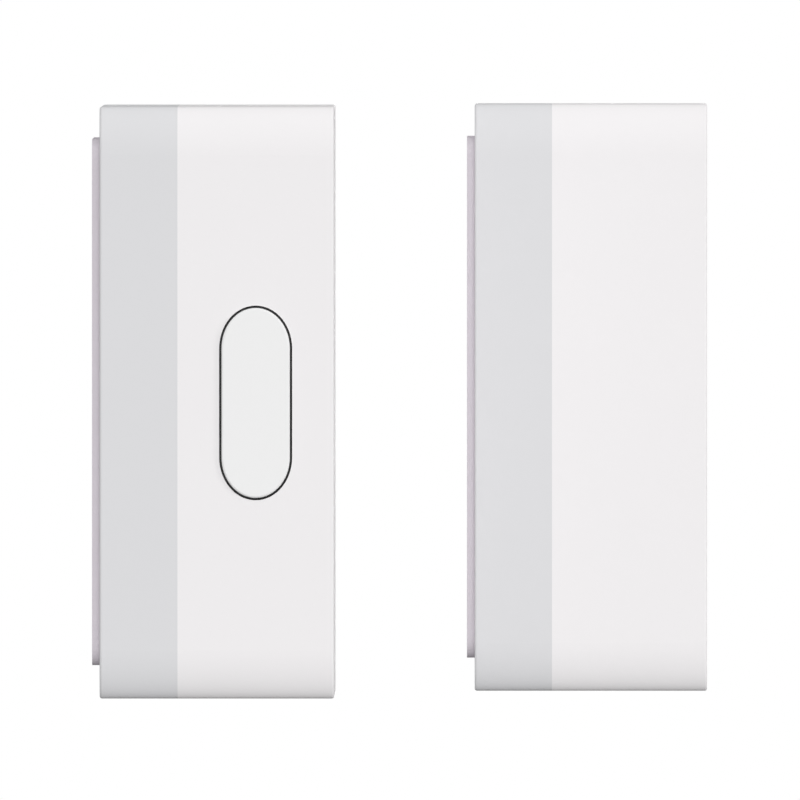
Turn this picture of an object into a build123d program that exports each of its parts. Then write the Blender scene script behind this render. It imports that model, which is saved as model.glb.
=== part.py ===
from build123d import *
import math
import os

# Door contact sensor: a battery sensor unit with a test button in its side, and a slim magnet unit.
# Foam tape holds each unit to a flat face. The wall plane is y = 0, both units face -Y, and +Z is up.
# The origin is the centre of the back face of the sensor's tape. The magnet unit is on the +X side,
# carried forward by a door that is ajar. All sizes are in millimetres.
# "Out" is a distance in front of the wall plane. "In" is a distance from the sensor's button side.

# Housings
wall = 1.5
base_depth = 7.9
corner_across = 1.75
corner_along = 4.9
cavity_corner = 1.4
back_edge_radius = 0.25
front_edge_radius = 0.2
lip_gap = 0.15
lip_wall = 0.8
lip_height = 2.0
snap_radius = 0.4
snap_rise = 0.1
snap_length = 8.0
snap_spacing = 30.0
notch_height = 0.9
sensor_notch = 8.0
magnet_notch = 5.0

# Tape
tape_thickness = 0.8
tape_inset = 3.3
tape_corner = 2.0

# Where the magnet unit is
unit_gap = 3.5
door_opening = 37.95

# Test button
button_width = 6.92
button_height = 19.25
button_end = 4.1
button_gap = 0.24
button_proud = 0.3
button_edge_radius = 0.2
cap_depth = 0.35
shoulder = 0.16
button_flange = 1.0
flange_gap = 0.05
flange_thickness = 0.9
button_travel = 0.4
travel_spare = 0.15
cap_peg_radius = 0.8
cap_peg_length = 1.0
cap_peg_spacing = 11.0
stem_width = 3.0
stem_height = 6.0
retainer_thickness = 0.9
retainer_margin = 1.0
stem_reach = 0.5
sliding_gap = 0.15

# Tactile switch
switch_size = 6.2
switch_height = 3.3
switch_corner = 0.3
switch_plate_thickness = 0.25
clip_width = 2.0
clip_length = 1.4
plunger_gap = 0.05
plunger_out = 0.85
plunger_radius = 1.7
plunger_collar = 0.4
plunger_edge_radius = 0.2
collar_thickness = 0.5
dome_room = 0.75
dome_rise = 0.3
dome_sheet = 0.1
terminal_width = 0.7
terminal_inset = 0.84
terminal_thickness = 0.15
terminal_rise = 1.2
terminal_foot = 0.9

# Circuit boards
standoff = 1.2
board_thickness = 1.2
board_edge_gap = 0.3
board_corner = 1.0
button_board_thickness = 1.0
button_board_height = 15.0
button_board_margin = 4.2
tab_width = 2.4
tab_spacing = 11.4
tab_tail = 0.25
solder_tail = 0.5
hole_gap = 0.1
pin_size = 0.6
pin_pitch = 2.54
pin_count = 4
header_size = 2.5
screw_inset = 2.5
pad_radius = 1.5

# Screws
screw_radius = 0.8
screw_head_radius = 1.5
screw_head_height = 1.0
screw_depth = 2.0
recess_length = 1.6
recess_width = 0.4
small_screw_radius = 0.6
small_head_radius = 1.1
small_head_height = 0.7
small_recess_length = 1.4
small_recess_width = 0.3
pilot_skin = 0.9
boss_wall = 0.9
thread_gap = 0.02

# Cell and its cradle
cell_diameter = 15.6
cell_length = 27.0
sleeve_thickness = 0.2
sleeve_fold = 1.6
cell_nub_radius = 3.0
cell_nub_height = 0.8
cell_nub_edge_radius = 0.3
crimp_drop = 2.2
crimp_stand = 0.2
crimp_radius = 0.45
cell_clearance = 0.1
cell_side_gap = 0.7
cell_wall_gap = 0.6
cradle_floor = 1.0
cradle_narrowing = 0.6
cradle_corner = 2.0
cradle_side = 0.7
cradle_end_wall = 1.1
cradle_end_rise = 4.5
cradle_end_gap = 0.35
spring_room = 3.0
contact_room = 0.6
contact_thickness = 0.4
contact_gap = 0.05
contact_width = 8.0
contact_rise = 4.0
contact_corner = 1.0
tail_width = 2.0
tail_overlap = 2.0
spring_wire = 0.5
spring_radius = 2.6
spring_turns = 3
cradle_peg_radius = 0.7
cradle_peg_inset = 6.0
front_room = 1.65
hold_down_width = 8.0
hold_down_length = 1.4
hold_down_gap = 0.3

# Radio, controller, lamp and reed switch
radio_bay = 21.95
radio_width = 13.5
radio_height = 17.5
radio_board_thickness = 0.8
radio_reed_gap = 1.2
solder_pads = 8
solder_pad_radius = 0.4
solder_pad_pitch = 1.5
solder_pad_inset = 1.6
shield_width = 11.6
shield_height = 11.2
shield_rise = 2.0
shield_sheet = 0.25
shield_margin = 0.9
shield_corner = 0.8
shield_edge_radius = 0.3
antenna_length = 7.0
antenna_width = 2.0
antenna_rise = 1.1
antenna_chamfer = 0.15
chip_size = 5.0
chip_rise = 0.9
chip_dot_radius = 0.35
chip_dot_inset = 0.8
chip_dot_depth = 0.1
capacitor_count = 4
capacitor_pitch = 1.6
capacitor_width = 0.8
capacitor_length = 1.6
capacitor_rise = 0.6
capacitor_gap = 0.5
crystal_length = 3.2
crystal_width = 1.5
crystal_rise = 0.9
crystal_corner = 0.3
crystal_shift = 1.0
lamp_length = 1.6
lamp_width = 1.0
lamp_rise = 0.7
lamp_chamfer = 0.2
lamp_offset = 5.6
reed_radius = 0.9
reed_bore = 0.6
reed_length = 10.0
reed_seal = 1.2
reed_wire = 0.25
reed_lead_span = 14.0
reed_inset = 1.5
reed_standoff = 1.4
reed_blade_width = 0.8
reed_blade_thickness = 0.15
reed_blade_overlap = 0.6
reed_blade_sink = 0.6

# Magnet and its carrier
magnet_thickness = 5.0
magnet_depth = 10.0
magnet_length = 18.0
magnet_gap = 0.1
magnet_chamfer = 0.3
carrier_wall = 0.9
carrier_corner = 1.2
carrier_gap = 0.05
carrier_floor = 1.0
carrier_peg_radius = 0.8
foot_length = 5.0
foot_thickness = 1.4
foot_overlap = 2.0
foot_corner = 0.8
magnet_rib = 1.2
magnet_rib_height = 10.0

# Places out from the wall plane
parting = tape_thickness + base_depth
floor_out = tape_thickness + wall
board_back = floor_out + standoff
board_front = board_back + board_thickness
cell_back = board_front + cradle_floor + cell_clearance
cell_out = cell_back + cell_diameter / 2
cell_front = cell_back + cell_diameter
cavity_front = cell_front + front_room
body_front = cavity_front + wall
button_out = (parting + body_front) / 2

# Places in from the button side of the sensor
cap_back_in = cap_depth
flange_in = wall + flange_gap
flange_back_in = flange_in + flange_thickness
retainer_in = flange_back_in + button_travel + travel_spare
retainer_back_in = retainer_in + retainer_thickness
stem_end_in = retainer_back_in + stem_reach
plunger_in = stem_end_in + plunger_gap
switch_in = plunger_in + plunger_out
button_board_in = switch_in + switch_height
button_board_back_in = button_board_in + button_board_thickness
cell_in = button_board_back_in + cell_side_gap
sensor_width = cell_in + cell_diameter + cell_wall_gap + wall

# Heights, from the middle of the body
rim = wall + lip_gap + lip_wall
cradle_length = cradle_end_wall + spring_room + cell_length + contact_room + cradle_end_wall
body_height = 2 * rim + cradle_end_gap + cradle_length + radio_bay
cradle_bottom = -body_height / 2 + rim + cradle_end_gap
cradle_top = cradle_bottom + cradle_length
cell_bottom = cradle_bottom + cradle_end_wall + spring_room
cell_top = cell_bottom + cell_length
bay_centre = body_height / 2 - rim - radio_bay / 2


def across(distance_in):
    """The x of a place that far in from the button side."""
    return distance_in - sensor_width / 2


# Places of the pieces inside the sensor
cell_x = across(cell_in + cell_diameter / 2)
cradle_width = cell_diameter - 2 * cradle_narrowing
reed_x = across(sensor_width - rim - board_edge_gap - reed_inset)
reed_out = board_front + reed_standoff
radio_x = reed_x - reed_radius - radio_width / 2 - radio_reed_gap
shield_z = bay_centre - radio_height / 2 + shield_margin + shield_height / 2
chip_x = across(rim + board_edge_gap + chip_size)
chip_z = -(button_board_height / 2 + chip_size)
screw_x = across(rim + board_edge_gap + screw_inset)
screw_z = body_height / 2 - rim - board_edge_gap - screw_inset
header_x = across(button_board_in - header_size / 2)
header_out = board_front + header_size / 2
retainer_boss_radius = small_screw_radius + boss_wall
retainer_screw_z = button_height / 2 + button_flange + retainer_boss_radius + retainer_margin / 2
bore_radius = plunger_radius + plunger_collar + hole_gap
bore_in = switch_in + switch_plate_thickness
bore_depth = button_travel + collar_thickness + dome_room

# The magnet unit
carrier_width = magnet_thickness + 2 * magnet_gap + 2 * carrier_wall
magnet_unit_width = carrier_width + 2 * carrier_gap + 2 * rim
magnet_x = sensor_width / 2 + unit_gap + magnet_unit_width / 2
magnet_back = board_back + carrier_floor
magnet_front = magnet_back + magnet_depth
carrier_length = magnet_length + 2 * magnet_gap + 2 * carrier_wall
carrier_bottom = bay_centre - carrier_length / 2
foot_screw_z = carrier_bottom - foot_length / 2
carrier_peg_z = bay_centre + magnet_length / 2 - 2 * carrier_peg_radius
magnet_place = Pos(magnet_x, -door_opening, 0)


def brick(x, out, z, width, depth, height):
    """A square-cornered block centred at x and z, from out to out + depth in front of the wall."""
    return Pos(x, -out - depth / 2, z) * Box(width, depth, height)


def slab(width, height, corner, start, end, x=0.0, z=0.0):
    """A block whose corners are rounded as seen from the front, between two distances out."""
    outline = Plane.XZ.offset(start) * Pos(x, z) * RectangleRounded(width, height, corner)
    return extrude(outline, amount=end - start)


def body_block(width, start, end):
    """A housing's outside: as tall as the body, each corner a quarter ellipse as seen from the front."""
    straight = body_height - 2 * corner_along
    inner = width - 2 * corner_across
    outline = Rectangle(width, straight) + Rectangle(inner, body_height)
    for x in (-inner / 2, inner / 2):
        for z in (-straight / 2, straight / 2):
            outline += Pos(x, z) * Ellipse(corner_across, corner_along)
    return extrude(Plane.XZ.offset(start) * outline, amount=end - start)


def post(x, z, radius, start, end):
    """A round post that points at the wall, between two distances out."""
    return extrude(Plane.XZ.offset(start) * Pos(x, z) * Circle(radius), amount=end - start)


def pin(out, z, radius, start_in, end_in):
    """A round pin that lies across the sensor, between two distances in."""
    circle = Plane.YZ.offset(across(start_in)) * Pos(-out, z) * Circle(radius)
    return extrude(circle, amount=end_in - start_in)


def upright(x, out, radius, bottom, top):
    """A round bar that stands along Z."""
    return extrude(Plane.XY.offset(bottom) * Pos(x, -out) * Circle(radius), amount=top - bottom)


def side_plate(depth, height, start_in, end_in, out=button_out, z=0.0):
    """A plate that lies parallel to the side wall, between two distances in."""
    outline = Plane.YZ.offset(across(start_in)) * Pos(-out, z) * Rectangle(depth, height)
    return extrude(outline, amount=end_in - start_in)


def button_block(grow, start_in, end_in):
    """The button's oblong, grown all round, between two distances in. Its ends are half ellipses."""
    straight = button_height - 2 * button_end
    half = button_width / 2 + grow
    end = Ellipse(half, button_end + grow)
    outline = Rectangle(2 * half, straight) + Pos(0, straight / 2) * end + Pos(0, -straight / 2) * end
    place = Plane.YZ.offset(across(start_in)) * Pos(-button_out, 0)
    return extrude(place * outline, amount=end_in - start_in)


def tape(width):
    """Foam pad, the same margin inside the body all round."""
    return slab(width - 2 * tape_inset, body_height - 2 * tape_inset, tape_corner, 0, tape_thickness)


def snap_bars(width, radius):
    """Bars along the long sides of the lip: their outer edges are the snap ridges."""
    sink = wall + lip_gap + snap_radius - snap_rise
    bars = []
    for side in (-1, 1):
        for z in (-snap_spacing / 2, snap_spacing / 2):
            x = side * (width / 2 - sink)
            bottom = z - snap_length / 2
            bars.append(upright(x, parting + lip_height / 2, radius, bottom, bottom + snap_length))
    return Part() + bars


def housing_base(width, notch_width):
    """Rear tray: back panel, side walls, the lip that the cover fits over, and a notch to prise it off."""
    tray = body_block(width, tape_thickness, parting)
    tray = fillet(tray.faces().sort_by(Axis.Y)[-1].edges(), back_edge_radius)
    lip = wall + lip_gap
    lip_corner = cavity_corner - lip_gap
    tray += slab(width - 2 * lip, body_height - 2 * lip, lip_corner, floor_out, parting + lip_height)
    tray += snap_bars(width, snap_radius)
    inside_corner = lip_corner - lip_wall
    tray -= slab(width - 2 * rim, body_height - 2 * rim, inside_corner, floor_out, parting + lip_height)
    notch_z = -(body_height - wall) / 2
    tray -= brick(0, parting - notch_height, notch_z, notch_width, notch_height, wall)
    return tray


def housing_cover(width):
    """Front shell: front panel and side walls, hollowed for the lip's snap ridges."""
    shell = body_block(width, parting, body_front)
    shell = fillet(shell.faces().sort_by(Axis.Y)[0].edges(), front_edge_radius)
    shell -= slab(width - 2 * wall, body_height - 2 * wall, cavity_corner, parting, cavity_front)
    shell -= snap_bars(width, snap_radius + snap_rise)
    return shell


def screw(x, z, seat, thickness):
    """A pan-head screw whose head rests at seat and which goes through a plate of this thickness."""
    shank = post(x, z, screw_radius, seat - thickness - screw_depth, seat)
    head = post(x, z, screw_head_radius, seat, seat + screw_head_height)
    head = fillet(head.faces().sort_by(Axis.Y)[0].edges(), screw_head_height / 2)
    recess_out = seat + screw_head_height / 2
    slot = brick(x, recess_out, z, recess_width, screw_head_height, recess_length)
    cross = brick(x, recess_out, z, recess_length, screw_head_height, recess_width)
    return shank + head - slot - cross


def screw_boss(x, z):
    """A boss on the base floor, as tall as the standoff."""
    return post(x, z, screw_radius + boss_wall, floor_out - wall / 2, board_back)


def pilot_hole(x, z):
    """The hole that a screw cuts its thread in."""
    return post(x, z, screw_radius + thread_gap, board_back - screw_depth - hole_gap, board_back)


def sensor_base():
    tray = housing_base(sensor_width, sensor_notch)
    screws = [(screw_x, screw_z), (screw_x, -screw_z)]
    right = -screw_x
    for x, z in screws:
        tray += screw_boss(x, z)
    for x, z in [(0, screw_z), (0, -screw_z), (right, -screw_z), (right, 0)]:
        tray += post(x, z, pad_radius, floor_out - wall / 2, board_back)
    for x, z in screws:
        tray -= pilot_hole(x, z)
    return tray


def retainer_boss(z):
    """A boss inside the cover's side wall for one screw of the button retainer."""
    return pin(button_out, z, retainer_boss_radius, wall / 2, retainer_in)


def retainer_pilot(z):
    """The hole in that boss, which stops short of the outside of the cover."""
    return pin(button_out, z, small_screw_radius + thread_gap, pilot_skin, retainer_in)


def sensor_cover():
    shell = housing_cover(sensor_width)
    for z in (-retainer_screw_z, retainer_screw_z):
        shell += retainer_boss(z)
        shell -= retainer_pilot(z)
    shell -= button_block(button_gap, -button_proud, flange_in)
    rib_out = cell_front + hold_down_gap
    for quarter in (-cell_length / 4, cell_length / 4):
        z = (cell_bottom + cell_top) / 2 + quarter
        depth = cavity_front - rib_out + wall / 2
        shell += brick(cell_x, rib_out, z, hold_down_width, depth, hold_down_length)
    return shell


def button_cap():
    cap = button_block(0, -button_proud, cap_back_in)
    cap = fillet(cap.faces().sort_by(Axis.X)[0].edges(), button_edge_radius)
    for z in (-cap_peg_spacing / 2, cap_peg_spacing / 2):
        cap += pin(button_out, z, cap_peg_radius, cap_back_in, cap_back_in + cap_peg_length)
    return cap


def button_carrier():
    """Black part under the cap: its shoulder shows round the cap, its flange keeps the button in."""
    carrier = button_block(shoulder, cap_back_in, flange_in)
    carrier += button_block(button_flange, flange_in, flange_back_in)
    carrier += side_plate(stem_width, stem_height, flange_back_in, stem_end_in)
    for z in (-cap_peg_spacing / 2, cap_peg_spacing / 2):
        hole_end = cap_back_in + cap_peg_length + hole_gap
        carrier -= pin(button_out, z, cap_peg_radius + thread_gap, cap_back_in, hole_end)
    return carrier


def button_retainer():
    depth = button_width + 2 * button_flange + 2 * retainer_margin
    height = 2 * (retainer_screw_z + small_head_radius + retainer_margin)
    plate = side_plate(depth, height, retainer_in, retainer_back_in)
    plate = fillet(plate.edges().filter_by(Axis.X), retainer_margin)
    opening = side_plate(
        stem_width + 2 * sliding_gap, stem_height + 2 * sliding_gap, retainer_in, retainer_back_in
    )
    plate -= opening
    for z in (-retainer_screw_z, retainer_screw_z):
        plate -= pin(button_out, z, small_screw_radius + hole_gap, retainer_in, retainer_back_in)
    return plate


def retainer_screws():
    screws = []
    for z in (-retainer_screw_z, retainer_screw_z):
        head_end = retainer_back_in + small_head_height
        head = pin(button_out, z, small_head_radius, retainer_back_in, head_end)
        head = fillet(head.faces().sort_by(Axis.X)[-1].edges(), small_head_height / 2)
        slot_in = head_end - small_head_height / 2
        slot = side_plate(small_recess_width, small_recess_length, slot_in, head_end, z=z)
        cross = side_plate(small_recess_length, small_recess_width, slot_in, head_end, z=z)
        shank = pin(button_out, z, small_screw_radius, pilot_skin + hole_gap, retainer_back_in)
        screws.append(shank + head - slot - cross)
    return Part() + screws


def switch_body():
    body = side_plate(switch_size, switch_size, bore_in, button_board_in)
    body = fillet(body.edges().filter_by(Axis.X), switch_corner)
    body -= pin(button_out, 0, bore_radius, bore_in, bore_in + bore_depth)
    return body


def switch_plate():
    """Steel plate over the switch body, with a clip down each of two sides."""
    plate = side_plate(switch_size, switch_size, switch_in, bore_in)
    for side in (-1, 1):
        clip_z = side * (switch_size + switch_plate_thickness) / 2
        clip_end = bore_in + clip_length
        plate += side_plate(clip_width, switch_plate_thickness, switch_in, clip_end, z=clip_z)
    return plate - pin(button_out, 0, plunger_radius + hole_gap, switch_in, bore_in)


def switch_plunger():
    collar_in = bore_in + thread_gap
    stem = pin(button_out, 0, plunger_radius, plunger_in, collar_in)
    stem = fillet(stem.faces().sort_by(Axis.X)[0].edges(), plunger_edge_radius)
    collar_radius = plunger_radius + plunger_collar
    return stem + pin(button_out, 0, collar_radius, collar_in, collar_in + collar_thickness)


def switch_dome():
    """Thin pressed dome at the bottom of the switch's bore."""
    base = bore_radius - hole_gap
    cone = Cone(base, base / 2, dome_rise)
    shell = Pos(0, 0, dome_rise / 2) * (cone - Pos(0, 0, -dome_sheet) * cone)
    floor = Plane(origin=(across(bore_in + bore_depth), -button_out, 0), z_dir=(-1, 0, 0))
    return floor * shell


def switch_terminals():
    """Four bent legs at the foot of the switch, soldered to its board."""
    legs = []
    edge = switch_size / 2
    rise_in = button_board_in - terminal_rise
    foot_in = button_board_in - terminal_thickness
    for out_side in (-1, 1):
        for side in (-1, 1):
            out = button_out + out_side * (edge - terminal_inset)
            rise_z = side * (edge + terminal_thickness / 2)
            foot_z = side * (edge + terminal_foot / 2)
            rise = side_plate(terminal_width, terminal_thickness, rise_in, button_board_in, out, rise_z)
            foot = side_plate(terminal_width, terminal_foot, foot_in, button_board_in, out, foot_z)
            legs.append(rise + foot)
    return Part() + legs


def pin_heights():
    """The z of each pin of the header, evenly spaced about the middle."""
    return [(i - (pin_count - 1) / 2) * pin_pitch for i in range(pin_count)]


def header_pin(z, size, tail):
    """A right-angle pin: down through the main board and across through the button board."""
    leg_start = board_back - tail
    leg = brick(header_x, leg_start, z, size, header_out + size / 2 - leg_start, size)
    arm_end = across(button_board_back_in) + tail
    arm_start = header_x - size / 2
    arm = brick((arm_start + arm_end) / 2, header_out - size / 2, z, arm_end - arm_start, size, size)
    return leg + arm


def header_pins():
    return Part() + [header_pin(z, pin_size, solder_tail) for z in pin_heights()]


def pin_channels():
    """What the pins need cut out of the header block and both boards."""
    return Part() + [header_pin(z, pin_size + 2 * hole_gap, 2 * solder_tail) for z in pin_heights()]


def header_block():
    block = brick(header_x, board_front, 0, header_size, header_size, pin_count * pin_pitch)
    snug = Part() + [header_pin(z, pin_size + 2 * thread_gap, solder_tail) for z in pin_heights()]
    return block - snug


def board_tabs(gap):
    """The two feet of the button board, or, with a gap, the slots they stand in."""
    x = across(button_board_in + button_board_thickness / 2)
    tabs = []
    for z in (-tab_spacing / 2, tab_spacing / 2):
        start = board_back - tab_tail - gap
        width = button_board_thickness + 2 * gap
        tabs.append(brick(x, start, z, width, board_front - start, tab_width + 2 * gap))
    return Part() + tabs


def button_board():
    x = across(button_board_in + button_board_thickness / 2)
    height = button_out + button_board_margin - board_front
    board = brick(x, board_front, 0, button_board_thickness, height, button_board_height)
    return board + board_tabs(0) - pin_channels()


def main_board():
    width = sensor_width - 2 * rim - 2 * board_edge_gap
    height = body_height - 2 * rim - 2 * board_edge_gap
    board = slab(width, height, board_corner, board_back, board_front)
    board -= board_tabs(hole_gap)
    board -= pin_channels()
    for z in (screw_z, -screw_z):
        board -= post(screw_x, z, screw_radius + hole_gap, board_back, board_front)
    for z in cradle_peg_heights():
        board -= post(cell_x, z, cradle_peg_radius + hole_gap, board_back, board_front)
    for z in contact_heights():
        slot_width = tail_width + 2 * hole_gap
        slot_height = contact_thickness + 2 * hole_gap
        board -= brick(cell_x, board_back, z, slot_width, board_thickness, slot_height)
    for side in (-1, 1):
        z = bay_centre + side * reed_lead_span / 2
        board -= post(reed_x, z, reed_wire + hole_gap, board_back, board_front)
    return board


def board_screws():
    return Part() + [screw(screw_x, z, board_front, board_thickness) for z in (screw_z, -screw_z)]


def radio_module():
    """Small carrier board with a row of half-round solder pads down each side."""
    front = board_front + radio_board_thickness
    board = brick(radio_x, board_front, bay_centre, radio_width, radio_board_thickness, radio_height)
    for side in (-1, 1):
        for i in range(solder_pads):
            z = bay_centre - radio_height / 2 + solder_pad_inset + i * solder_pad_pitch
            board -= post(radio_x + side * radio_width / 2, z, solder_pad_radius, board_front, front)
    return board


def radio_shield():
    """Pressed metal can over the radio chip, open towards its board."""
    start = board_front + radio_board_thickness
    end = start + shield_rise
    can = slab(shield_width, shield_height, shield_corner, start, end, radio_x, shield_z)
    can = fillet(can.faces().sort_by(Axis.Y)[0].edges(), shield_edge_radius)
    width = shield_width - 2 * shield_sheet
    height = shield_height - 2 * shield_sheet
    corner = shield_corner - shield_sheet
    return can - slab(width, height, corner, start, end - shield_sheet, radio_x, shield_z)


def chip_antenna():
    start = board_front + radio_board_thickness
    z = bay_centre + radio_height / 2 - antenna_width
    body = brick(radio_x, start, z, antenna_length, antenna_rise, antenna_width)
    return chamfer(body.edges().filter_by(Axis.Z), antenna_chamfer)


def controller_chip():
    """Square controller with a dot pressed into one corner."""
    chip = brick(chip_x, board_front, chip_z, chip_size, chip_rise, chip_size)
    place = chip_size / 2 - chip_dot_inset
    top = board_front + chip_rise
    return chip - post(chip_x - place, chip_z + place, chip_dot_radius, top - chip_dot_depth, top)


def board_parts():
    """Capacitors in a row above the chip and a row below it, and a crystal above them."""
    pieces = []
    row = chip_size / 2 + capacitor_gap + capacitor_length / 2
    for i in range(capacitor_count):
        x = chip_x + (i - (capacitor_count - 1) / 2) * capacitor_pitch
        for z in (chip_z - row, chip_z + row):
            pieces.append(brick(x, board_front, z, capacitor_width, capacitor_rise, capacitor_length))
    crystal_z = chip_z + row + capacitor_length / 2 + capacitor_gap + crystal_width / 2
    crystal_x = chip_x - crystal_shift
    crystal = brick(crystal_x, board_front, crystal_z, crystal_length, crystal_rise, crystal_width)
    pieces.append(fillet(crystal.edges().filter_by(Axis.Y), crystal_corner))
    return Part() + pieces


def status_led():
    """Small lamp on the button board, above the switch."""
    start = button_board_in - lamp_rise
    lamp = side_plate(lamp_width, lamp_length, start, button_board_in, z=lamp_offset)
    return chamfer(lamp.faces().sort_by(Axis.X)[0].edges(), lamp_chamfer)


def reed_glass():
    """Sealed glass tube. The leads pass through its two ends."""
    bottom = bay_centre - reed_length / 2
    top = bay_centre + reed_length / 2
    glass = upright(reed_x, reed_out, reed_radius, bottom, top)
    glass = fillet(glass.edges(), reed_radius / 2)
    glass -= upright(reed_x, reed_out, reed_bore, bottom + reed_seal, top - reed_seal)
    return glass - upright(reed_x, reed_out, reed_wire, bottom, top)


def reed_blades():
    """Two leads that bend down to the board. Their flat tips cross in the glass without touching."""
    blades = []
    for side in (-1, 1):
        end_z = bay_centre + side * reed_lead_span / 2
        blade_z = bay_centre + side * (reed_length / 2 - reed_seal - reed_blade_sink)
        tip_z = bay_centre - side * reed_blade_overlap
        wire = upright(reed_x, reed_out, reed_wire, min(end_z, blade_z), max(end_z, blade_z))
        elbow = Pos(reed_x, -reed_out, end_z) * Sphere(reed_wire)
        leg = post(reed_x, end_z, reed_wire, board_back - solder_tail, reed_out)
        blade_out = reed_out + side * reed_blade_thickness - reed_blade_thickness / 2
        middle = (blade_z + tip_z) / 2
        length = abs(blade_z - tip_z)
        blade = brick(reed_x, blade_out, middle, reed_blade_width, reed_blade_thickness, length)
        blades.append(wire + elbow + leg + blade)
    return Part() + blades


def cradle_peg_heights():
    return (cradle_bottom + cradle_peg_inset, cradle_top - cradle_peg_inset)


def contact_heights():
    """The z of the middle of the negative and the positive contact."""
    inset = cradle_end_wall + contact_gap + contact_thickness / 2
    return (cradle_bottom + inset, cradle_top - inset)


def battery_cradle():
    """Saddle under the cell with a wall at each end, pegged to the main board."""
    trough_radius = cell_diameter / 2 + cell_clearance
    middle = (cradle_bottom + cradle_top) / 2
    end_out = cell_out + cradle_end_rise
    side_drop = math.sqrt(trough_radius**2 - (cradle_width / 2 - cradle_side) ** 2)
    side_out = cell_out - side_drop
    inner_length = cradle_length - 2 * cradle_end_wall
    inner_bottom = middle - inner_length / 2
    cradle = slab(cradle_width, cradle_length, cradle_corner, board_front, end_out, cell_x, middle)
    cradle -= brick(cell_x, side_out, middle, cradle_width, end_out - side_out, inner_length)
    cradle -= upright(cell_x, cell_out, trough_radius, inner_bottom, inner_bottom + inner_length)
    for z in contact_heights():
        slot = tail_width + 2 * hole_gap
        cradle -= brick(cell_x, board_front, z, slot, 2 * cradle_floor, contact_thickness + 2 * contact_gap)
    for z in cradle_peg_heights():
        cradle += post(cell_x, z, cradle_peg_radius, board_back, board_front)
    return cradle


def contact_plate(z):
    """A flat spring-steel plate with a tail through the cradle and the main board."""
    half = contact_width / 2
    plate_out = cell_out - math.sqrt((cell_diameter / 2) ** 2 - half**2) + cell_clearance
    plate_end = cell_out + contact_rise
    plate = brick(cell_x, plate_out, z, contact_width, plate_end - plate_out, contact_thickness)
    plate = fillet(plate.edges().filter_by(Axis.Z), contact_corner)
    tail_start = board_back - solder_tail
    tail_length = plate_out + tail_overlap - tail_start
    return plate + brick(cell_x, tail_start, z, tail_width, tail_length, contact_thickness)


def negative_contact():
    return contact_plate(contact_heights()[0])


def positive_contact():
    return contact_plate(contact_heights()[1])


def negative_spring():
    """Coil spring between the negative contact and the cell."""
    start = contact_heights()[0] + contact_thickness / 2 + spring_wire / 2 + contact_gap
    end = cell_bottom - spring_wire / 2 - contact_gap
    path = Helix((end - start) / spring_turns, end - start, spring_radius)
    section = Plane(origin=path @ 0, z_dir=path % 0) * Circle(spring_wire / 2)
    return Pos(cell_x, -cell_out, start) * sweep(section, path=path, is_frenet=True)


def battery_can():
    """Steel can of the cell, with the crimp groove below its raised positive end."""
    radius = cell_diameter / 2 - sleeve_thickness
    body_top = cell_top - cell_nub_height - sleeve_thickness
    can = upright(cell_x, cell_out, radius, cell_bottom + sleeve_thickness, body_top)
    crimp = Torus(radius + crimp_stand, crimp_radius)
    groove = Pos(cell_x, -cell_out, body_top - crimp_drop) * crimp
    nub = upright(cell_x, cell_out, cell_nub_radius, body_top - sleeve_thickness, cell_top)
    nub = fillet(nub.faces().sort_by(Axis.Z)[-1].edges(), cell_nub_edge_radius)
    return can - groove + nub


def battery_sleeve():
    """Thin plastic sleeve shrunk over the can and folded over both ends."""
    radius = cell_diameter / 2
    inner = radius - sleeve_thickness
    body_top = cell_top - cell_nub_height
    tube = upright(cell_x, cell_out, radius, cell_bottom, body_top)
    tube = fillet(tube.edges(), sleeve_thickness)
    tube -= upright(cell_x, cell_out, inner, cell_bottom + sleeve_thickness, body_top - sleeve_thickness)
    return tube - upright(cell_x, cell_out, radius - sleeve_fold, cell_bottom, body_top)


def magnet_base():
    tray = housing_base(magnet_unit_width, magnet_notch)
    tray += screw_boss(0, foot_screw_z)
    tray += post(0, carrier_peg_z, pad_radius, floor_out - wall / 2, board_back)
    tray -= pilot_hole(0, foot_screw_z)
    tray -= post(0, carrier_peg_z, carrier_peg_radius + hole_gap, floor_out, board_back)
    return magnet_place * tray


def magnet_cover():
    """The plain cover, with a rib inside that keeps the magnet in its carrier."""
    shell = housing_cover(magnet_unit_width)
    rib_out = magnet_front + hold_down_gap
    depth = cavity_front - rib_out + wall / 2
    shell += brick(0, rib_out, bay_centre, magnet_rib, depth, magnet_rib_height)
    return magnet_place * shell


def magnet_carrier():
    """Open-fronted box round the magnet, with a screwed foot below and a locating peg behind."""
    box_front = magnet_front - 2 * carrier_wall
    carrier = slab(carrier_width, carrier_length, carrier_corner, board_back, box_front, 0, bay_centre)
    foot_front = board_back + foot_thickness
    foot_z = carrier_bottom + (foot_overlap - foot_length) / 2
    foot_span = foot_length + foot_overlap
    carrier += slab(carrier_width, foot_span, foot_corner, board_back, foot_front, 0, foot_z)
    pocket_width = magnet_thickness + 2 * magnet_gap
    pocket_length = magnet_length + 2 * magnet_gap
    pocket_depth = box_front - magnet_back
    carrier -= brick(0, magnet_back, bay_centre, pocket_width, pocket_depth, pocket_length)
    carrier -= post(0, foot_screw_z, screw_radius + hole_gap, board_back, foot_front)
    carrier += post(0, carrier_peg_z, carrier_peg_radius, floor_out + hole_gap, board_back)
    return magnet_place * carrier


def carrier_screw():
    return magnet_place * screw(0, foot_screw_z, board_back + foot_thickness, foot_thickness)


def bar_magnet():
    magnet = brick(0, magnet_back, bay_centre, magnet_thickness, magnet_depth, magnet_length)
    return magnet_place * chamfer(magnet.edges(), magnet_chamfer)


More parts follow.
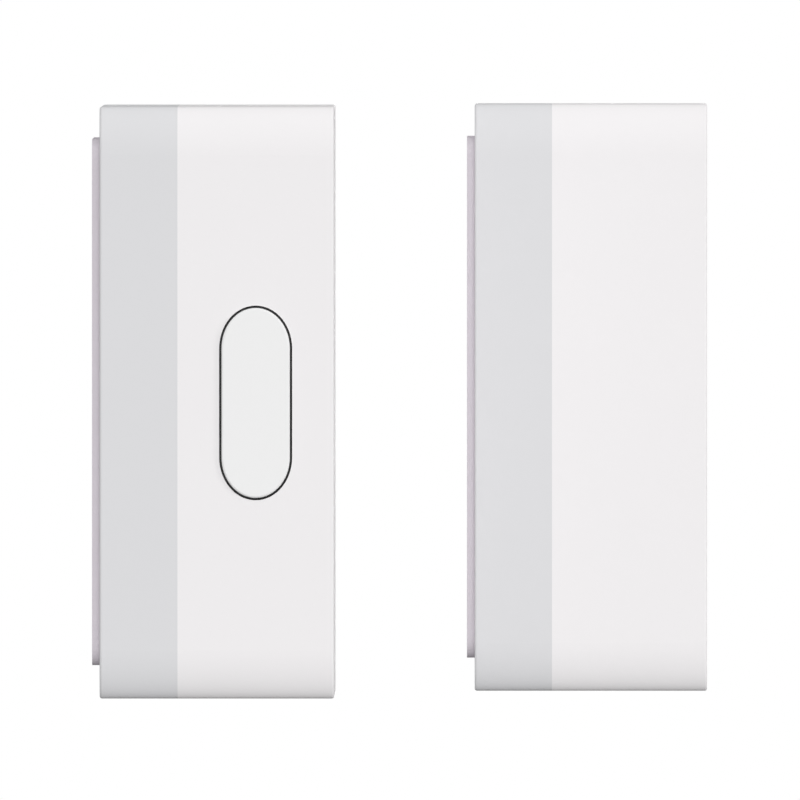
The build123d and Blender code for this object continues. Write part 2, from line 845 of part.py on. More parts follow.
parts = {
    "sensor_tape": tape(sensor_width),
    "sensor_base": sensor_base(),
    "sensor_cover": sensor_cover(),
    "button_cap": button_cap(),
    "button_carrier": button_carrier(),
    "button_retainer": button_retainer(),
    "retainer_screws": retainer_screws(),
    "switch_body": switch_body(),
    "switch_plate": switch_plate(),
    "switch_plunger": switch_plunger(),
    "switch_dome": switch_dome(),
    "switch_terminals": switch_terminals(),
    "button_board": button_board(),
    "header_block": header_block(),
    "header_pins": header_pins(),
    "main_board": main_board(),
    "board_screws": board_screws(),
    "radio_module": radio_module(),
    "radio_shield": radio_shield(),
    "chip_antenna": chip_antenna(),
    "controller_chip": controller_chip(),
    "board_parts": board_parts(),
    "status_led": status_led(),
    "reed_glass": reed_glass(),
    "reed_blades": reed_blades(),
    "battery_cradle": battery_cradle(),
    "positive_contact": positive_contact(),
    "negative_contact": negative_contact(),
    "negative_spring": negative_spring(),
    "battery_can": battery_can(),
    "battery_sleeve": battery_sleeve(),
    "magnet_tape": magnet_place * tape(magnet_unit_width),
    "magnet_base": magnet_base(),
    "magnet_cover": magnet_cover(),
    "magnet_carrier": magnet_carrier(),
    "carrier_screw": carrier_screw(),
    "bar_magnet": bar_magnet(),
}

os.makedirs("parts", exist_ok=True)
for name, shape in parts.items():
    export_step(shape, f"parts/{name}.step")
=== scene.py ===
import math

import bpy
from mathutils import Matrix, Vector


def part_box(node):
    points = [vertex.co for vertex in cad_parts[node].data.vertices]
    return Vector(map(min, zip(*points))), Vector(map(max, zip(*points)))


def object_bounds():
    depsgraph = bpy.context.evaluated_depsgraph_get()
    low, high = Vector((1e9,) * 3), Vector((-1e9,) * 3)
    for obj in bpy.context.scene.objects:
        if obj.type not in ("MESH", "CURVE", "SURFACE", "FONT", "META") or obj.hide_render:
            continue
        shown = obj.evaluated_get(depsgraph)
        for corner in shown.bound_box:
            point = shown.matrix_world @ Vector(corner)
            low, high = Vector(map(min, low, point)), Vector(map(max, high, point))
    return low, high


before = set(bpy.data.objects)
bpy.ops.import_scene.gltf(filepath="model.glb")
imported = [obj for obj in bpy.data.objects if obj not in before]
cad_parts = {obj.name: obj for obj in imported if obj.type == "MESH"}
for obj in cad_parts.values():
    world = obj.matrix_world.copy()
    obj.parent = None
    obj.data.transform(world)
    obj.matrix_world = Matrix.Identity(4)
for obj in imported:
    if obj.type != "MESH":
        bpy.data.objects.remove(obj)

bl_info = {
    "name": "Door contact sensor",
    "version": (1, 0, 0),
    "blender": (4, 5, 0),
    "location": "3D View > Sidebar > Door sensor",
    "description": "Finishes a door contact sensor and its magnet unit, and lights them in a small studio",
    "category": "Object",
}

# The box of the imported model. Every place below is worked out from it or from the boxes of its nodes.
CAD_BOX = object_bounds()
MM = 0.001
CHANNELS = {"x": 0, "y": 1, "z": 2}

# Sizes on the boards and small pieces, which the textures mark.
PIN_SIZE = 0.6 * MM
PIN_COUNT = 4
PIN_PAD_RADIUS = 0.65 * MM
SCREW_PAD_RADIUS = 1.9 * MM
LEAD_PAD_RADIUS = 0.75 * MM
RADIO_PAD_COUNT = 8
RADIO_PAD_PITCH = 1.5 * MM
RADIO_PAD_RADIUS = 0.75 * MM
RADIO_FIRST_PAD = 1.6 * MM
TRACK_HALF_WIDTH = 0.13  # as a share of the distance between tracks
VIA_SIZE = 0.05          # square of a via's radius, with that distance as 1
VIA_ABOVE = 0.78         # a square has a via where its random number is above this
CAPACITOR_ROW = 3.8 * MM
CAPACITOR_BODY = 0.5 * MM
ANTENNA_BODY = 2.7 * MM
BAND_FROM_END = 2.0 * MM
BAND_TO_END = 7.0 * MM
PHOSPHOR_SHARE = 0.27    # half the phosphor's length, as a share of the lamp's

# Colours of the metals and of what is bare on the boards.
BRIGHT_STEEL = (0.66, 0.66, 0.65)
TINNED_STEEL = (0.62, 0.62, 0.60)
SCREW_STEEL = (0.42, 0.42, 0.43)
GOLD = (0.83, 0.60, 0.25)
NICKEL = (0.60, 0.58, 0.54)
SOLDER = (0.72, 0.70, 0.66)
END_CAP = (0.68, 0.67, 0.64)
DARK_FIBRE = (0.34, 0.32, 0.14)
PALE_FIBRE = (0.50, 0.46, 0.24)
NATURAL_PLASTIC = (0.72, 0.71, 0.66)
CAPACITOR_BROWN = (0.40, 0.27, 0.15)
ANTENNA_WHITE = (0.74, 0.72, 0.68)
BAND_COLOUR = (0.62, 0.60, 0.55)
GREEN_GLASS = (0.62, 0.86, 0.72)
PALE_GLASS = (0.72, 0.92, 0.80)
DEEP_PHOSPHOR = (0.86, 0.70, 0.18)
PALE_PHOSPHOR = (0.95, 0.82, 0.30)
LAMP_BODY = (0.82, 0.81, 0.78)

# What places are multiplied by along X, Y and Z before the grain of a metal is worked out. The grain is drawn
# out into lines along the axis that has the smallest number.
LINES_UPRIGHT = (1.0, 1.0, 0.12)
LINES_ACROSS = (0.12, 1.0, 1.0)
LINES_ON_PINS = (1.0, 1.0, 0.2)
NO_LINES = (1.0, 1.0, 1.0)

# The studio. Each lamp has the direction from the object to it, and its width in degrees.
KEY_TOWARDS, KEY_WIDTH = (-1.0, 0.0, 0.18), 16.0
FILL_TOWARDS, FILL_WIDTH = (1.0, -0.10, 0.03), 30.0
SIDE_TOWARDS, SIDE_WIDTH = (-0.32, -0.94, 0.10), 12.0
ROOM_SLOPE = 0.645       # how much brighter the room is above than at its middle, as a share
FLOOR_SIZE = 4.0
FLOOR_MOTTLE = 60 * MM
FLOOR_DARK = (0.86, 0.86, 0.86)
FLOOR_PALE = (0.89, 0.89, 0.89)
FLOOR_GLOW = 0.6
FILM_WIDTH = 36.0        # in millimetres, as the lens
AIM_HEIGHT = 0.30 * MM


# ---------------------------------------------------------------- materials

class Value:
    """One number of a material, as a node's output. Arithmetic on it adds Math nodes."""

    def __init__(self, finish, socket):
        self.finish = finish
        self.socket = socket

    def math(self, operation, *numbers):
        return self.finish.node("ShaderNodeMath", {"operation": operation}, dict(enumerate(numbers)))

    def __add__(self, other):
        return self.math("ADD", self, other)

    __radd__ = __add__

    def __sub__(self, other):
        return self.math("SUBTRACT", self, other)

    def __rsub__(self, other):
        return self.math("SUBTRACT", other, self)

    def __mul__(self, other):
        return self.math("MULTIPLY", self, other)

    __rmul__ = __mul__

    def __truediv__(self, other):
        return self.math("DIVIDE", self, other)

    def __gt__(self, other):
        return self.math("GREATER_THAN", self, other)

    def __lt__(self, other):
        return self.math("LESS_THAN", self, other)

    def __abs__(self):
        return self.math("ABSOLUTE", self)

    def floor(self):
        return self.math("FLOOR", self)

    def fraction(self):
        return self.math("FRACT", self)

    def most(self, other):
        return self.math("MAXIMUM", self, other)


class Finish:
    """A new material with one Principled shader, and the nodes that feed it."""

    def __init__(self, name, **uniform):
        self.material = bpy.data.materials.new(name)
        self.material.use_nodes = True
        self.tree = self.material.node_tree
        self.tree.nodes.clear()
        self.shader = self.tree.nodes.new("ShaderNodeBsdfPrincipled")
        output = self.tree.nodes.new("ShaderNodeOutputMaterial")
        self.tree.links.new(self.shader.outputs["BSDF"], output.inputs["Surface"])
        for key, value in uniform.items():
            self.shader.inputs[key.replace("_", " ")].default_value = value

    def node(self, kind, settings, inputs, output=0):
        """Adds a node: first its settings, then the values or the links of its sockets."""
        made = self.tree.nodes.new(kind)
        for key, value in settings.items():
            if key == "stops":
                self.set_stops(made.color_ramp.elements, value)
            else:
                setattr(made, key, value)
        for key, value in inputs.items():
            self.feed(made.inputs[key], value)
        return Value(self, made.outputs[output])

    def set_stops(self, elements, stops):
        while len(elements) < len(stops):
            elements.new(1.0)
        for element, (place, grey) in zip(elements, stops):
            element.position = place
            element.color = (grey, grey, grey, 1.0)

    def feed(self, socket, value):
        if isinstance(value, Value):
            self.tree.links.new(value.socket, socket)
        else:
            socket.default_value = value

    def drive(self, **inputs):
        """Feeds what varies over the surface to the shader."""
        for key, value in inputs.items():
            self.feed(self.shader.inputs[key.replace("_", " ")], value)

    def place(self):
        """The place on the piece, in metres."""
        return self.node("ShaderNodeTexCoord", {}, {}, "Object")

    def facing(self):
        """The direction that the surface faces."""
        return self.node("ShaderNodeNewGeometry", {}, {}, "Normal")

    def part_of(self, vector, channel):
        return self.node("ShaderNodeSeparateXYZ", {}, {0: vector}, CHANNELS[channel])

    def stretch(self, vector, scale):
        return self.node("ShaderNodeVectorMath", {"operation": "MULTIPLY"}, {0: vector, 1: scale})

    def grain(self, size, detail=2.0, roughness=0.5, vector=None, seed=0.0):
        """Even random noise whose blotches are about that many metres across."""
        settings = {"noise_dimensions": "4D"}
        sockets = {"Vector": vector or self.place(), "W": seed, "Scale": 1.0 / size}
        sockets.update({"Detail": detail, "Roughness": roughness})
        return self.node("ShaderNodeTexNoise", settings, sockets)

    def cell_edges(self, size):
        """How far it is to the nearest edge between random cells that many metres across."""
        sockets = {"Vector": self.place(), "Scale": 1.0 / size}
        return self.node("ShaderNodeTexVoronoi", {"feature": "DISTANCE_TO_EDGE"}, sockets, "Distance")

    def blend(self, factor, first, second):
        """A colour between two colours."""
        sockets = {0: factor, 6: opaque(first), 7: opaque(second)}
        return self.node("ShaderNodeMix", {"data_type": "RGBA"}, sockets, 2)

    def steps(self, value, *stops):
        return self.node("ShaderNodeValToRGB", {"stops": stops}, {0: value})

    def relief(self, height, depth, under=None):
        """Bumps of that many metres, on top of other bumps."""
        sockets = {"Height": height, "Distance": depth}
        if under:
            sockets["Normal"] = under
        return self.node("ShaderNodeBump", {}, sockets)


def opaque(colour):
    """A colour with full alpha, or the value itself where it is a link."""
    return colour if isinstance(colour, Value) else (*tuple(colour)[:3], 1.0)


def shade(colour, factor):
    return tuple(min(channel * factor, 1.0) for channel in tuple(colour)[:3])


def wear(finish, *nodes):
    """Gives the finish to CAD nodes."""
    for name in nodes:
        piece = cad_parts[name]
        piece.data.materials.clear()
        piece.data.materials.append(finish.material)


# ---------------------------------------------------------------- settings

def colour_setting(name, description, default):
    return bpy.props.FloatVectorProperty(
        name=name, description=description, default=default, size=3, min=0.0, max=1.0, subtype="COLOR"
    )


def length_setting(name, description, default):
    return bpy.props.FloatProperty(
        name=name, description=description, default=default, min=0.0, precision=5,
        subtype="DISTANCE", unit="LENGTH"
    )


def share_setting(name, description, default):
    return bpy.props.FloatProperty(
        name=name, description=description, default=default, min=0.0, max=1.0, subtype="FACTOR"
    )


class HousingSettings(bpy.types.PropertyGroup):
    """The moulded covers and bases."""

    cover_colour: colour_setting("Cover colour", "Colour of the front covers", (0.842, 0.826, 0.834))
    base_colour: colour_setting("Base colour", "Colour of the rear trays", (0.695, 0.695, 0.71))
    roughness: share_setting("Roughness", "How matt the covers and bases are", 0.62)
    grain: length_setting("Grain size", "Width of the moulding texture's grains", 0.16 * MM)
    grain_depth: length_setting("Grain depth", "Depth of the moulding texture", 0.0022 * MM)


class ButtonSettings(bpy.types.PropertyGroup):
    """The test button and the black carrier that outlines it."""

    cap_colour: colour_setting("Cap colour", "Colour of the button cap", (0.835, 0.835, 0.835))
    carrier_colour: colour_setting("Carrier colour", "Colour of the carrier", (0.012, 0.012, 0.013))
    roughness: share_setting("Roughness", "How matt the cap is", 0.58)


class TapeSettings(bpy.types.PropertyGroup):
    """The foam tape."""

    foam_colour: colour_setting("Foam colour", "Colour of the foam's cut edges", (0.74, 0.69, 0.745))
    liner_colour: colour_setting("Liner colour", "Colour of the paper over the adhesive", (0.80, 0.77, 0.70))
    cell: length_setting("Cell size", "Width of the foam's open cells", 0.14 * MM)


class ElectronicsSettings(bpy.types.PropertyGroup):
    """The boards and what is on them."""

    mask_colour: colour_setting("Mask colour", "Colour of the solder mask", (0.010, 0.115, 0.045))
    track_pitch: length_setting("Track pitch", "Distance between the boards' tracks", 1.1 * MM)
    chip_colour: colour_setting("Chip colour", "Colour of moulded epoxy", (0.022, 0.022, 0.024))
    sleeve_colour: colour_setting("Sleeve colour", "Colour of the cell's sleeve", (0.055, 0.13, 0.27))


class StudioSettings(bpy.types.PropertyGroup):
    """The camera, the lights and the floor."""

    lens: bpy.props.FloatProperty(
        name="Lens", description="Focal length in millimetres", default=1600.0, min=1.0,
        subtype="DISTANCE_CAMERA"
    )
    framed_width: length_setting("Framed width", "Width that the camera sees at the near face", 81.04 * MM)
    eye_height: length_setting("Eye height", "Height of the camera above the middle", 62.0 * MM)
    eye_forward: length_setting("Eye offset", "How far in front of the view's middle it stands", 15.3 * MM)
    floor_drop: length_setting("Floor drop", "Height of the middle above the floor", 150.0 * MM)
    ambient: bpy.props.FloatProperty(
        name="Ambient", description="Brightness of the room", default=0.41, min=0.0
    )
    key: bpy.props.FloatProperty(
        name="Key", description="Brightness of the large soft light", default=0.525, min=0.0
    )
    fill: bpy.props.FloatProperty(
        name="Fill", description="Brightness of the light on the far side", default=0.50, min=0.0
    )
    side: bpy.props.FloatProperty(
        name="Side", description="Brightness of the low light from the front", default=0.25, min=0.0
    )


GROUPS = {
    "sensor_housing": HousingSettings,
    "sensor_button": ButtonSettings,
    "sensor_tape": TapeSettings,
    "sensor_electronics": ElectronicsSettings,
    "sensor_studio": StudioSettings,
}


# ---------------------------------------------------------------- operators

def moulded(name, colour, roughness, grain, depth):
    """Plastic from a spark-eroded mould: fine grain, faint flow marks, and a little uneven gloss."""
    finish = Finish(name, Specular_IOR_Level=0.3)
    fine = finish.grain(grain, detail=3.0, roughness=0.6)
    flow = finish.grain(14 * MM, detail=2.0, seed=3.0)
    specks = finish.grain(0.7 * MM, detail=4.0, seed=7.0)
    tone = finish.blend(flow, shade(colour, 0.985), shade(colour, 1.015))
    mottled = finish.blend(specks * 0.5, tone, shade(colour, 0.985))
    finish.drive(
        Base_Color=mottled,
        Roughness=roughness + (fine - 0.5) * 0.12 + (flow - 0.5) * 0.08,
        Normal=finish.relief(fine, depth, finish.relief(specks, depth * 0.8)),
    )
    return finish


class SENSOR_OT_housings(bpy.types.Operator):
    """Finishes the covers and bases of both units"""

    bl_idname = "sensor.housings"
    bl_label = "Covers and bases"

    def execute(self, context):
        s = context.scene.sensor_housing
        cover = moulded("Moulded white", s.cover_colour, s.roughness, s.grain, s.grain_depth)
        base = moulded("Moulded light grey", s.base_colour, s.roughness + 0.05, s.grain, s.grain_depth)
        wear(cover, "sensor_cover", "magnet_cover")
        wear(base, "sensor_base", "magnet_base")
        return {"FINISHED"}


class SENSOR_OT_button(bpy.types.Operator):
    """Finishes the button cap, its carrier and the retainer behind it"""

    bl_idname = "sensor.button"
    bl_label = "Test button"

    def execute(self, context):
        s = context.scene.sensor_button
        cap = moulded("Button satin", s.cap_colour, s.roughness, 0.22 * MM, 0.0012 * MM)
        black = moulded("Moulded black", s.carrier_colour, 0.55, 0.15 * MM, 0.002 * MM)
        natural = moulded("Natural plastic", NATURAL_PLASTIC, 0.38, 0.3 * MM, 0.0015 * MM)
        natural.shader.inputs["Subsurface Weight"].default_value = 0.15
        natural.shader.inputs["Subsurface Scale"].default_value = 1.0 * MM
        wear(cap, "button_cap")
        wear(black, "button_carrier", "battery_cradle")
        wear(natural, "button_retainer", "magnet_carrier")
        return {"FINISHED"}


class SENSOR_OT_tape(bpy.types.Operator):
    """Finishes the foam tape: open cells at its cut edges, a paper liner on its back"""

    bl_idname = "sensor.tape"
    bl_label = "Foam tape"

    def execute(self, context):
        s = context.scene.sensor_tape
        finish = Finish("Foam tape")
        edge = finish.cell_edges(s.cell)
        pores = finish.steps(edge, (0.0, 1.0), (0.22, 0.35), (1.0, 0.0))
        blotches = finish.grain(1.3 * MM, detail=3.0)
        foam = finish.blend(blotches, shade(s.foam_colour, 0.93), shade(s.foam_colour, 1.07))
        # The cells' hollows, where the relief sinks, are painted a little darker than the walls between them:
        # painted shade.
        foam = finish.blend(pores * 0.35, shade(s.foam_colour, 0.88), foam)
        fibres = finish.grain(
            0.25 * MM, detail=5.0, roughness=0.7, vector=finish.stretch(finish.place(), (1.0, 1.0, 0.35))
        )
        liner = finish.blend(fibres, shade(s.liner_colour, 0.94), shade(s.liner_colour, 1.05))
        back = finish.part_of(finish.facing(), "y") > 0.7
        finish.drive(
            Base_Color=finish.blend(back, foam, liner),
            Roughness=0.85 - back * 0.25 + (fibres - 0.5) * 0.1,
            Normal=finish.relief(fibres, 0.004 * MM, finish.relief(pores, 0.02 * MM)),
        )
        wear(finish, "sensor_tape", "magnet_tape")
        return {"FINISHED"}


def printed_board(name, colour, pitch, across, pads):
    """Solder mask over copper tracks, bare cut edges, and tinned rings round the given places."""
    finish = Finish(name, Specular_IOR_Level=0.5)
    place = finish.place()
    first, second = [finish.part_of(place, channel) / pitch for channel in "xyz" if channel != across]
    cell = finish.node("ShaderNodeCombineXYZ", {}, {0: first.floor(), 1: second.floor()})
    choice = finish.node("ShaderNodeTexWhiteNoise", {"noise_dimensions": "2D"}, {"Vector": cell})
    along = abs(first.fraction() - 0.5)
    over = abs(second.fraction() - 0.5)
    upright = choice > 0.5
    tracks = upright * (along < TRACK_HALF_WIDTH) + (1 - upright) * (over < TRACK_HALF_WIDTH)
    middle = along * along + over * over
    vias = (middle < VIA_SIZE) * (choice > VIA_ABOVE)
    copper = tracks.most(vias)
    weave = finish.grain(0.35 * MM, detail=3.0, vector=finish.stretch(place, (1.0, 1.0, 3.0)))
    mask = finish.blend(weave, shade(colour, 0.85), shade(colour, 1.15))
    mask = finish.blend(copper * 0.75, mask, shade(colour, 2.1))
    faces = abs(finish.part_of(finish.facing(), across)) > 0.5
    fibre = finish.blend(weave, DARK_FIBRE, PALE_FIBRE)
    body = finish.blend(faces, fibre, mask)
    rings = None
    for point, radius in pads:
        distance = finish.node(
            "ShaderNodeVectorMath", {"operation": "DISTANCE"}, {0: place, 1: point}, "Value"
        )
        ring = distance < radius
        rings = rings.most(ring) if rings else ring
    tin = rings * faces
    finish.drive(
        Base_Color=finish.blend(tin, body, SOLDER),
        Metallic=tin,
        Roughness=0.36 - tin * 0.08 + (1 - faces) * 0.4 + (weave - 0.5) * 0.08,
        Normal=finish.relief(copper.most(tin), 0.03 * MM, finish.relief(weave, 0.004 * MM)),
    )
    return finish


class SENSOR_OT_boards(bpy.types.Operator):
    """Finishes the three circuit boards"""

    bl_idname = "sensor.boards"
    bl_label = "Circuit boards"

    def execute(self, context):
        s = context.scene.sensor_electronics
        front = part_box("main_board")[0].y
        screws = corners("board_screws", front)
        leads = corners("reed_blades", front)
        pads = [(place, SCREW_PAD_RADIUS) for place in (screws[0], screws[-1])]
        pads += [(place, LEAD_PAD_RADIUS) for place in (leads[0], leads[-1])]
        pads += [(place, PIN_PAD_RADIUS) for place in pin_feet(front)]
        main = printed_board("Main board", s.mask_colour, s.track_pitch, "y", pads)
        pads = [(place, PIN_PAD_RADIUS) for place in pin_tips(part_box("button_board")[1].x)]
        button = printed_board("Button board", s.mask_colour, s.track_pitch, "x", pads)
        dark, fine = shade(s.mask_colour, 0.7), s.track_pitch * 0.7
        radio = printed_board("Radio board", dark, fine, "y", radio_pads())
        wear(main, "main_board")
        wear(button, "button_board")
        wear(radio, "radio_module")
        return {"FINISHED"}


def middle_of(node):
    low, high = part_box(node)
    return (low + high) / 2


def corners(node, front):
    """The low and the high end of a node's box, on its middle line, moved to that distance in front."""
    low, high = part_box(node)
    x = (low.x + high.x) / 2
    inset = (high.x - low.x) / 2
    return Vector((x, front, low.z + inset)), Vector((x, front, high.z - inset))


def pin_rows():
    """The heights of the header's pins."""
    low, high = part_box("header_pins")
    span = high.z - low.z - PIN_SIZE
    return [low.z + PIN_SIZE / 2 + i * span / (PIN_COUNT - 1) for i in range(PIN_COUNT)]


def pin_feet(front):
    """Where the pins stand in the main board."""
    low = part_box("header_pins")[0]
    return [Vector((low.x + PIN_SIZE / 2, front, z)) for z in pin_rows()]


def pin_tips(far_side):
    """Where the pins come through the button board."""
    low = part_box("header_pins")[0]
    return [Vector((far_side, low.y + PIN_SIZE / 2, z)) for z in pin_rows()]


def radio_pads():
    """The pads down both sides of the radio's board, and their radius."""
    low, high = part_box("radio_module")
    pads = []
    for x in (low.x, high.x):
        for i in range(RADIO_PAD_COUNT):
            z = low.z + RADIO_FIRST_PAD + RADIO_PAD_PITCH * i
            pads.append((Vector((x, low.y, z)), RADIO_PAD_RADIUS))
    return pads


def metal(name, colour, roughness, scratch):
    """Plated metal with fine lines from rolling, and dull spots."""
    finish = Finish(name, Metallic=1.0)
    along = finish.stretch(finish.place(), scratch)
    lines = finish.grain(0.12 * MM, detail=4.0, roughness=0.65, vector=along)
    spots = finish.grain(1.1 * MM, detail=4.0, seed=5.0)
    tone = finish.blend(spots, shade(colour, 0.88), shade(colour, 1.06))
    finish.drive(
        Base_Color=tone,
        Roughness=roughness + (lines - 0.5) * 0.16 + (spots - 0.5) * 0.14,
        Normal=finish.relief(lines, 0.0015 * MM),
    )
    return finish


class SENSOR_OT_metal(bpy.types.Operator):
    """Finishes screws, contacts, spring, shield, pins and magnet"""

    bl_idname = "sensor.metal"
    bl_label = "Metal pieces"

    def execute(self, context):
        bright = metal("Bright plated steel", BRIGHT_STEEL, 0.28, LINES_UPRIGHT)
        shield = metal("Tinned shield", TINNED_STEEL, 0.36, LINES_ACROSS)
        dark = metal("Blackened screw steel", SCREW_STEEL, 0.34, NO_LINES)
        gold = metal("Gold flash", GOLD, 0.26, LINES_ON_PINS)
        nickel = metal("Nickel plating", NICKEL, 0.24, NO_LINES)
        wear(bright, "positive_contact", "negative_contact", "negative_spring", "reed_blades")
        wear(bright, "switch_plate", "switch_dome", "switch_terminals", "battery_can")
        wear(shield, "radio_shield")
        wear(dark, "board_screws", "retainer_screws", "carrier_screw")
        wear(gold, "header_pins")
        wear(nickel, "bar_magnet")
        return {"FINISHED"}


class SENSOR_OT_chips(bpy.types.Operator):
    """Finishes the switch, header and controller, and the small ceramic parts"""

    bl_idname = "sensor.chips"
    bl_label = "Chips and small parts"

    def execute(self, context):
        s = context.scene.sensor_electronics
        epoxy = moulded("Moulded epoxy", s.chip_colour, 0.62, 0.08 * MM, 0.003 * MM)
        satin = moulded("Switch black", shade(s.chip_colour, 0.9), 0.42, 0.12 * MM, 0.0015 * MM)
        wear(epoxy, "controller_chip")
        wear(satin, "switch_body", "switch_plunger", "header_block")
        chip = middle_of("controller_chip")
        antenna = middle_of("chip_antenna")
        brown = capped_ceramic("Capacitors", CAPACITOR_BROWN, "z", chip.z, CAPACITOR_ROW, CAPACITOR_BODY)
        white = capped_ceramic("Antenna ceramic", ANTENNA_WHITE, "x", antenna.x, 0.0, ANTENNA_BODY)
        wear(brown, "board_parts")
        wear(white, "chip_antenna")
        return {"FINISHED"}


def capped_ceramic(name, colour, channel, middle, row, body_reach):
    """Fired ceramic with tinned ends. It lies at a distance, row, either side of a middle line."""
    finish = Finish(name)
    away = abs(abs(finish.part_of(finish.place(), channel) - middle) - row)
    ends = away > body_reach
    fine = finish.grain(0.09 * MM, detail=3.0)
    spots = finish.grain(0.5 * MM, detail=3.0, seed=2.0)
    body = finish.blend(spots, shade(colour, 0.9), shade(colour, 1.1))
    finish.drive(
        Base_Color=finish.blend(ends, body, END_CAP),
        Metallic=ends,
        Roughness=0.5 - ends * 0.18 + (spots - 0.5) * 0.15,
        Normal=finish.relief(fine, 0.003 * MM),
    )
    return finish


class SENSOR_OT_cell(bpy.types.Operator):
    """Finishes the cell's shrunk sleeve, with a pale band at its positive end"""

    bl_idname = "sensor.cell"
    bl_label = "Cell"

    def execute(self, context):
        s = context.scene.sensor_electronics
        finish = Finish("Cell sleeve", Coat_Weight=0.4, Coat_Roughness=0.12)
        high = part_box("battery_sleeve")[1].z
        height = finish.part_of(finish.place(), "z")
        band = (height > high - BAND_TO_END) * (height < high - BAND_FROM_END)
        shrink = finish.grain(2.2 * MM, detail=3.0, vector=finish.stretch(finish.place(), (1.0, 1.0, 0.3)))
        film = finish.blend(shrink, shade(s.sleeve_colour, 0.9), shade(s.sleeve_colour, 1.1))
        finish.drive(
            Base_Color=finish.blend(band, film, BAND_COLOUR),
            Roughness=0.26 + (shrink - 0.5) * 0.12,
            Normal=finish.relief(shrink, 0.03 * MM),
        )
        wear(finish, "battery_sleeve")
        return {"FINISHED"}


class SENSOR_OT_glass(bpy.types.Operator):
    """Finishes the reed switch's glass tube and the status lamp"""

    bl_idname = "sensor.glass"
    bl_label = "Glass and lamp"

    def execute(self, context):
        glass = Finish("Reed glass", Transmission_Weight=0.9, IOR=1.5)
        streaks = glass.grain(1.5 * MM, detail=2.0, vector=glass.stretch(glass.place(), (1.0, 1.0, 0.2)))
        glass.drive(
            Base_Color=glass.blend(streaks, GREEN_GLASS, PALE_GLASS),
            Roughness=0.04 + streaks * 0.04,
        )
        wear(glass, "reed_glass")
        low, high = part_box("status_led")
        lamp = Finish("Lamp", Coat_Weight=0.6)
        height = lamp.part_of(lamp.place(), "z")
        phosphor = abs(height - (low.z + high.z) / 2) < (high.z - low.z) * PHOSPHOR_SHARE
        grains = lamp.grain(0.07 * MM, detail=3.0)
        yellow = lamp.blend(grains, DEEP_PHOSPHOR, PALE_PHOSPHOR)
        lamp.drive(
            Base_Color=lamp.blend(phosphor, LAMP_BODY, yellow),
            Roughness=0.25 + grains * 0.15,
            Normal=lamp.relief(grains, 0.002 * MM),
        )
        wear(lamp, "status_led")
        return {"FINISHED"}


def far_light(name, towards, brightness, softness):
    """A large distant light. The vector points from the object to the light."""
    lamp = bpy.data.lights.new(name, "SUN")
    lamp.energy = brightness * math.pi
    lamp.angle = math.radians(softness)
    lamp_object = bpy.data.objects.new(name, lamp)
    bpy.context.scene.collection.objects.link(lamp_object)
    lamp_object.rotation_mode = "QUATERNION"
    lamp_object.rotation_quaternion = Vector(towards).to_track_quat("Z", "Y")
    return lamp_object


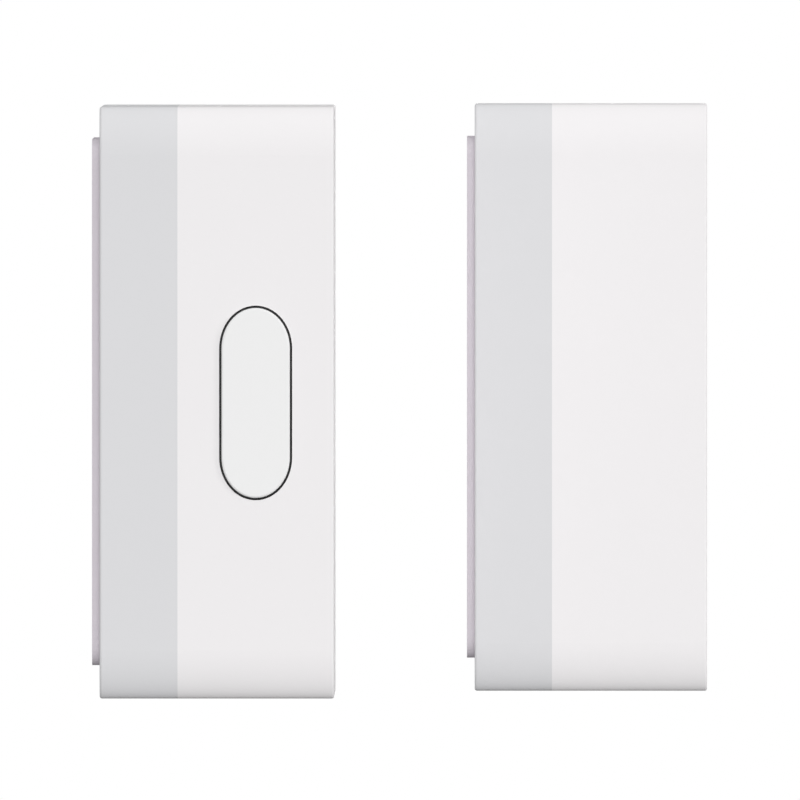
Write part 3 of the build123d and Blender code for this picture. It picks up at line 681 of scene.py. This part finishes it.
class SENSOR_OT_studio(bpy.types.Operator):
    """Makes the floor, the room's light, the lamps and the camera"""

    bl_idname = "sensor.studio"
    bl_label = "Studio"

    def execute(self, context):
        s = context.scene.sensor_studio
        context.scene.view_settings.view_transform = "Standard"
        self.make_floor(s)
        self.make_room(context, s)
        far_light("Key", KEY_TOWARDS, s.key, KEY_WIDTH)
        fill = far_light("Fill", FILL_TOWARDS, s.fill, FILL_WIDTH)
        side = far_light("Side", SIDE_TOWARDS, s.side, SIDE_WIDTH)
        for lamp in (fill, side):
            lamp.visible_glossy = False
        self.make_camera(context, s)
        return {"FINISHED"}

    def make_floor(self, s):
        bpy.ops.mesh.primitive_plane_add(size=FLOOR_SIZE, location=(0.0, 0.0, -s.floor_drop))
        floor = bpy.context.object
        floor.name = "floor"
        finish = Finish("Pale floor", Emission_Strength=FLOOR_GLOW, Roughness=0.9)
        mottle = finish.grain(FLOOR_MOTTLE, detail=3.0)
        tone = finish.blend(mottle, FLOOR_DARK, FLOOR_PALE)
        finish.drive(Base_Color=tone, Emission_Color=tone)
        floor.data.materials.append(finish.material)
        floor.visible_diffuse = False
        floor.visible_glossy = False
        floor.visible_shadow = False

    def make_room(self, context, s):
        """A white room as the camera sees it, whose light comes a little more from above."""
        world = bpy.data.worlds.new("Room")
        context.scene.world = world
        world.use_nodes = True
        tree = world.node_tree
        tree.nodes.clear()
        direction = tree.nodes.new("ShaderNodeNewGeometry")
        parts = tree.nodes.new("ShaderNodeSeparateXYZ")
        scale = tree.nodes.new("ShaderNodeMath")
        scale.operation = "MULTIPLY_ADD"
        scale.inputs[1].default_value = -ROOM_SLOPE * s.ambient
        scale.inputs[2].default_value = s.ambient
        room = tree.nodes.new("ShaderNodeBackground")
        white = tree.nodes.new("ShaderNodeBackground")
        path = tree.nodes.new("ShaderNodeLightPath")
        mix = tree.nodes.new("ShaderNodeMixShader")
        output = tree.nodes.new("ShaderNodeOutputWorld")
        tree.links.new(direction.outputs["Incoming"], parts.inputs[0])
        tree.links.new(parts.outputs["Z"], scale.inputs[0])
        room.inputs["Color"].default_value = (1.0, 1.0, 1.0, 1.0)
        white.inputs["Color"].default_value = (1.0, 1.0, 1.0, 1.0)
        tree.links.new(scale.outputs[0], room.inputs["Strength"])
        tree.links.new(path.outputs["Is Camera Ray"], mix.inputs[0])
        tree.links.new(room.outputs[0], mix.inputs[1])
        tree.links.new(white.outputs[0], mix.inputs[2])
        tree.links.new(mix.outputs[0], output.inputs["Surface"])

    def make_camera(self, context, s):
        low, high = CAD_BOX
        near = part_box("sensor_cover")[0].x
        data = bpy.data.cameras.new("Camera")
        data.lens = s.lens
        data.sensor_width = FILM_WIDTH
        distance = s.framed_width * s.lens / data.sensor_width
        data.clip_start = distance * 0.5
        data.clip_end = distance * 2.0
        camera = bpy.data.objects.new("Camera", data)
        context.scene.collection.objects.link(camera)
        aim = Vector((near, (low.y + high.y) / 2, AIM_HEIGHT))
        eye = Vector((near - distance, aim.y - s.eye_forward, s.eye_height))
        camera.location = eye
        camera.rotation_mode = "QUATERNION"
        camera.rotation_quaternion = (aim - eye).to_track_quat("-Z", "Y")
        context.scene.camera = camera


class SENSOR_PT_panel(bpy.types.Panel):
    """Lists the steps that finish the sensor"""

    bl_idname = "SENSOR_PT_panel"
    bl_label = "Door contact sensor"
    bl_space_type = "VIEW_3D"
    bl_region_type = "UI"
    bl_category = "Door sensor"

    def draw(self, context):
        for operator in OPERATORS:
            self.layout.operator(operator.bl_idname)
        for group in GROUPS:
            settings = getattr(context.scene, group)
            for name in settings.bl_rna.properties.keys():
                if name not in ("rna_type", "name"):
                    self.layout.prop(settings, name)


OPERATORS = (
    SENSOR_OT_housings,
    SENSOR_OT_button,
    SENSOR_OT_tape,
    SENSOR_OT_boards,
    SENSOR_OT_metal,
    SENSOR_OT_chips,
    SENSOR_OT_cell,
    SENSOR_OT_glass,
    SENSOR_OT_studio,
)
CLASSES = (*GROUPS.values(), *OPERATORS, SENSOR_PT_panel)


def register():
    for made in CLASSES:
        bpy.utils.register_class(made)
    for name, group in GROUPS.items():
        setattr(bpy.types.Scene, name, bpy.props.PointerProperty(type=group))


def unregister():
    for name in GROUPS:
        delattr(bpy.types.Scene, name)
    for made in reversed(CLASSES):
        bpy.utils.unregister_class(made)


def main():
    register()
    for operator in OPERATORS:
        group, name = operator.bl_idname.split(".")
        getattr(getattr(bpy.ops, group), name)()
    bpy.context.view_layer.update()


if __name__ == "__main__":
    main()
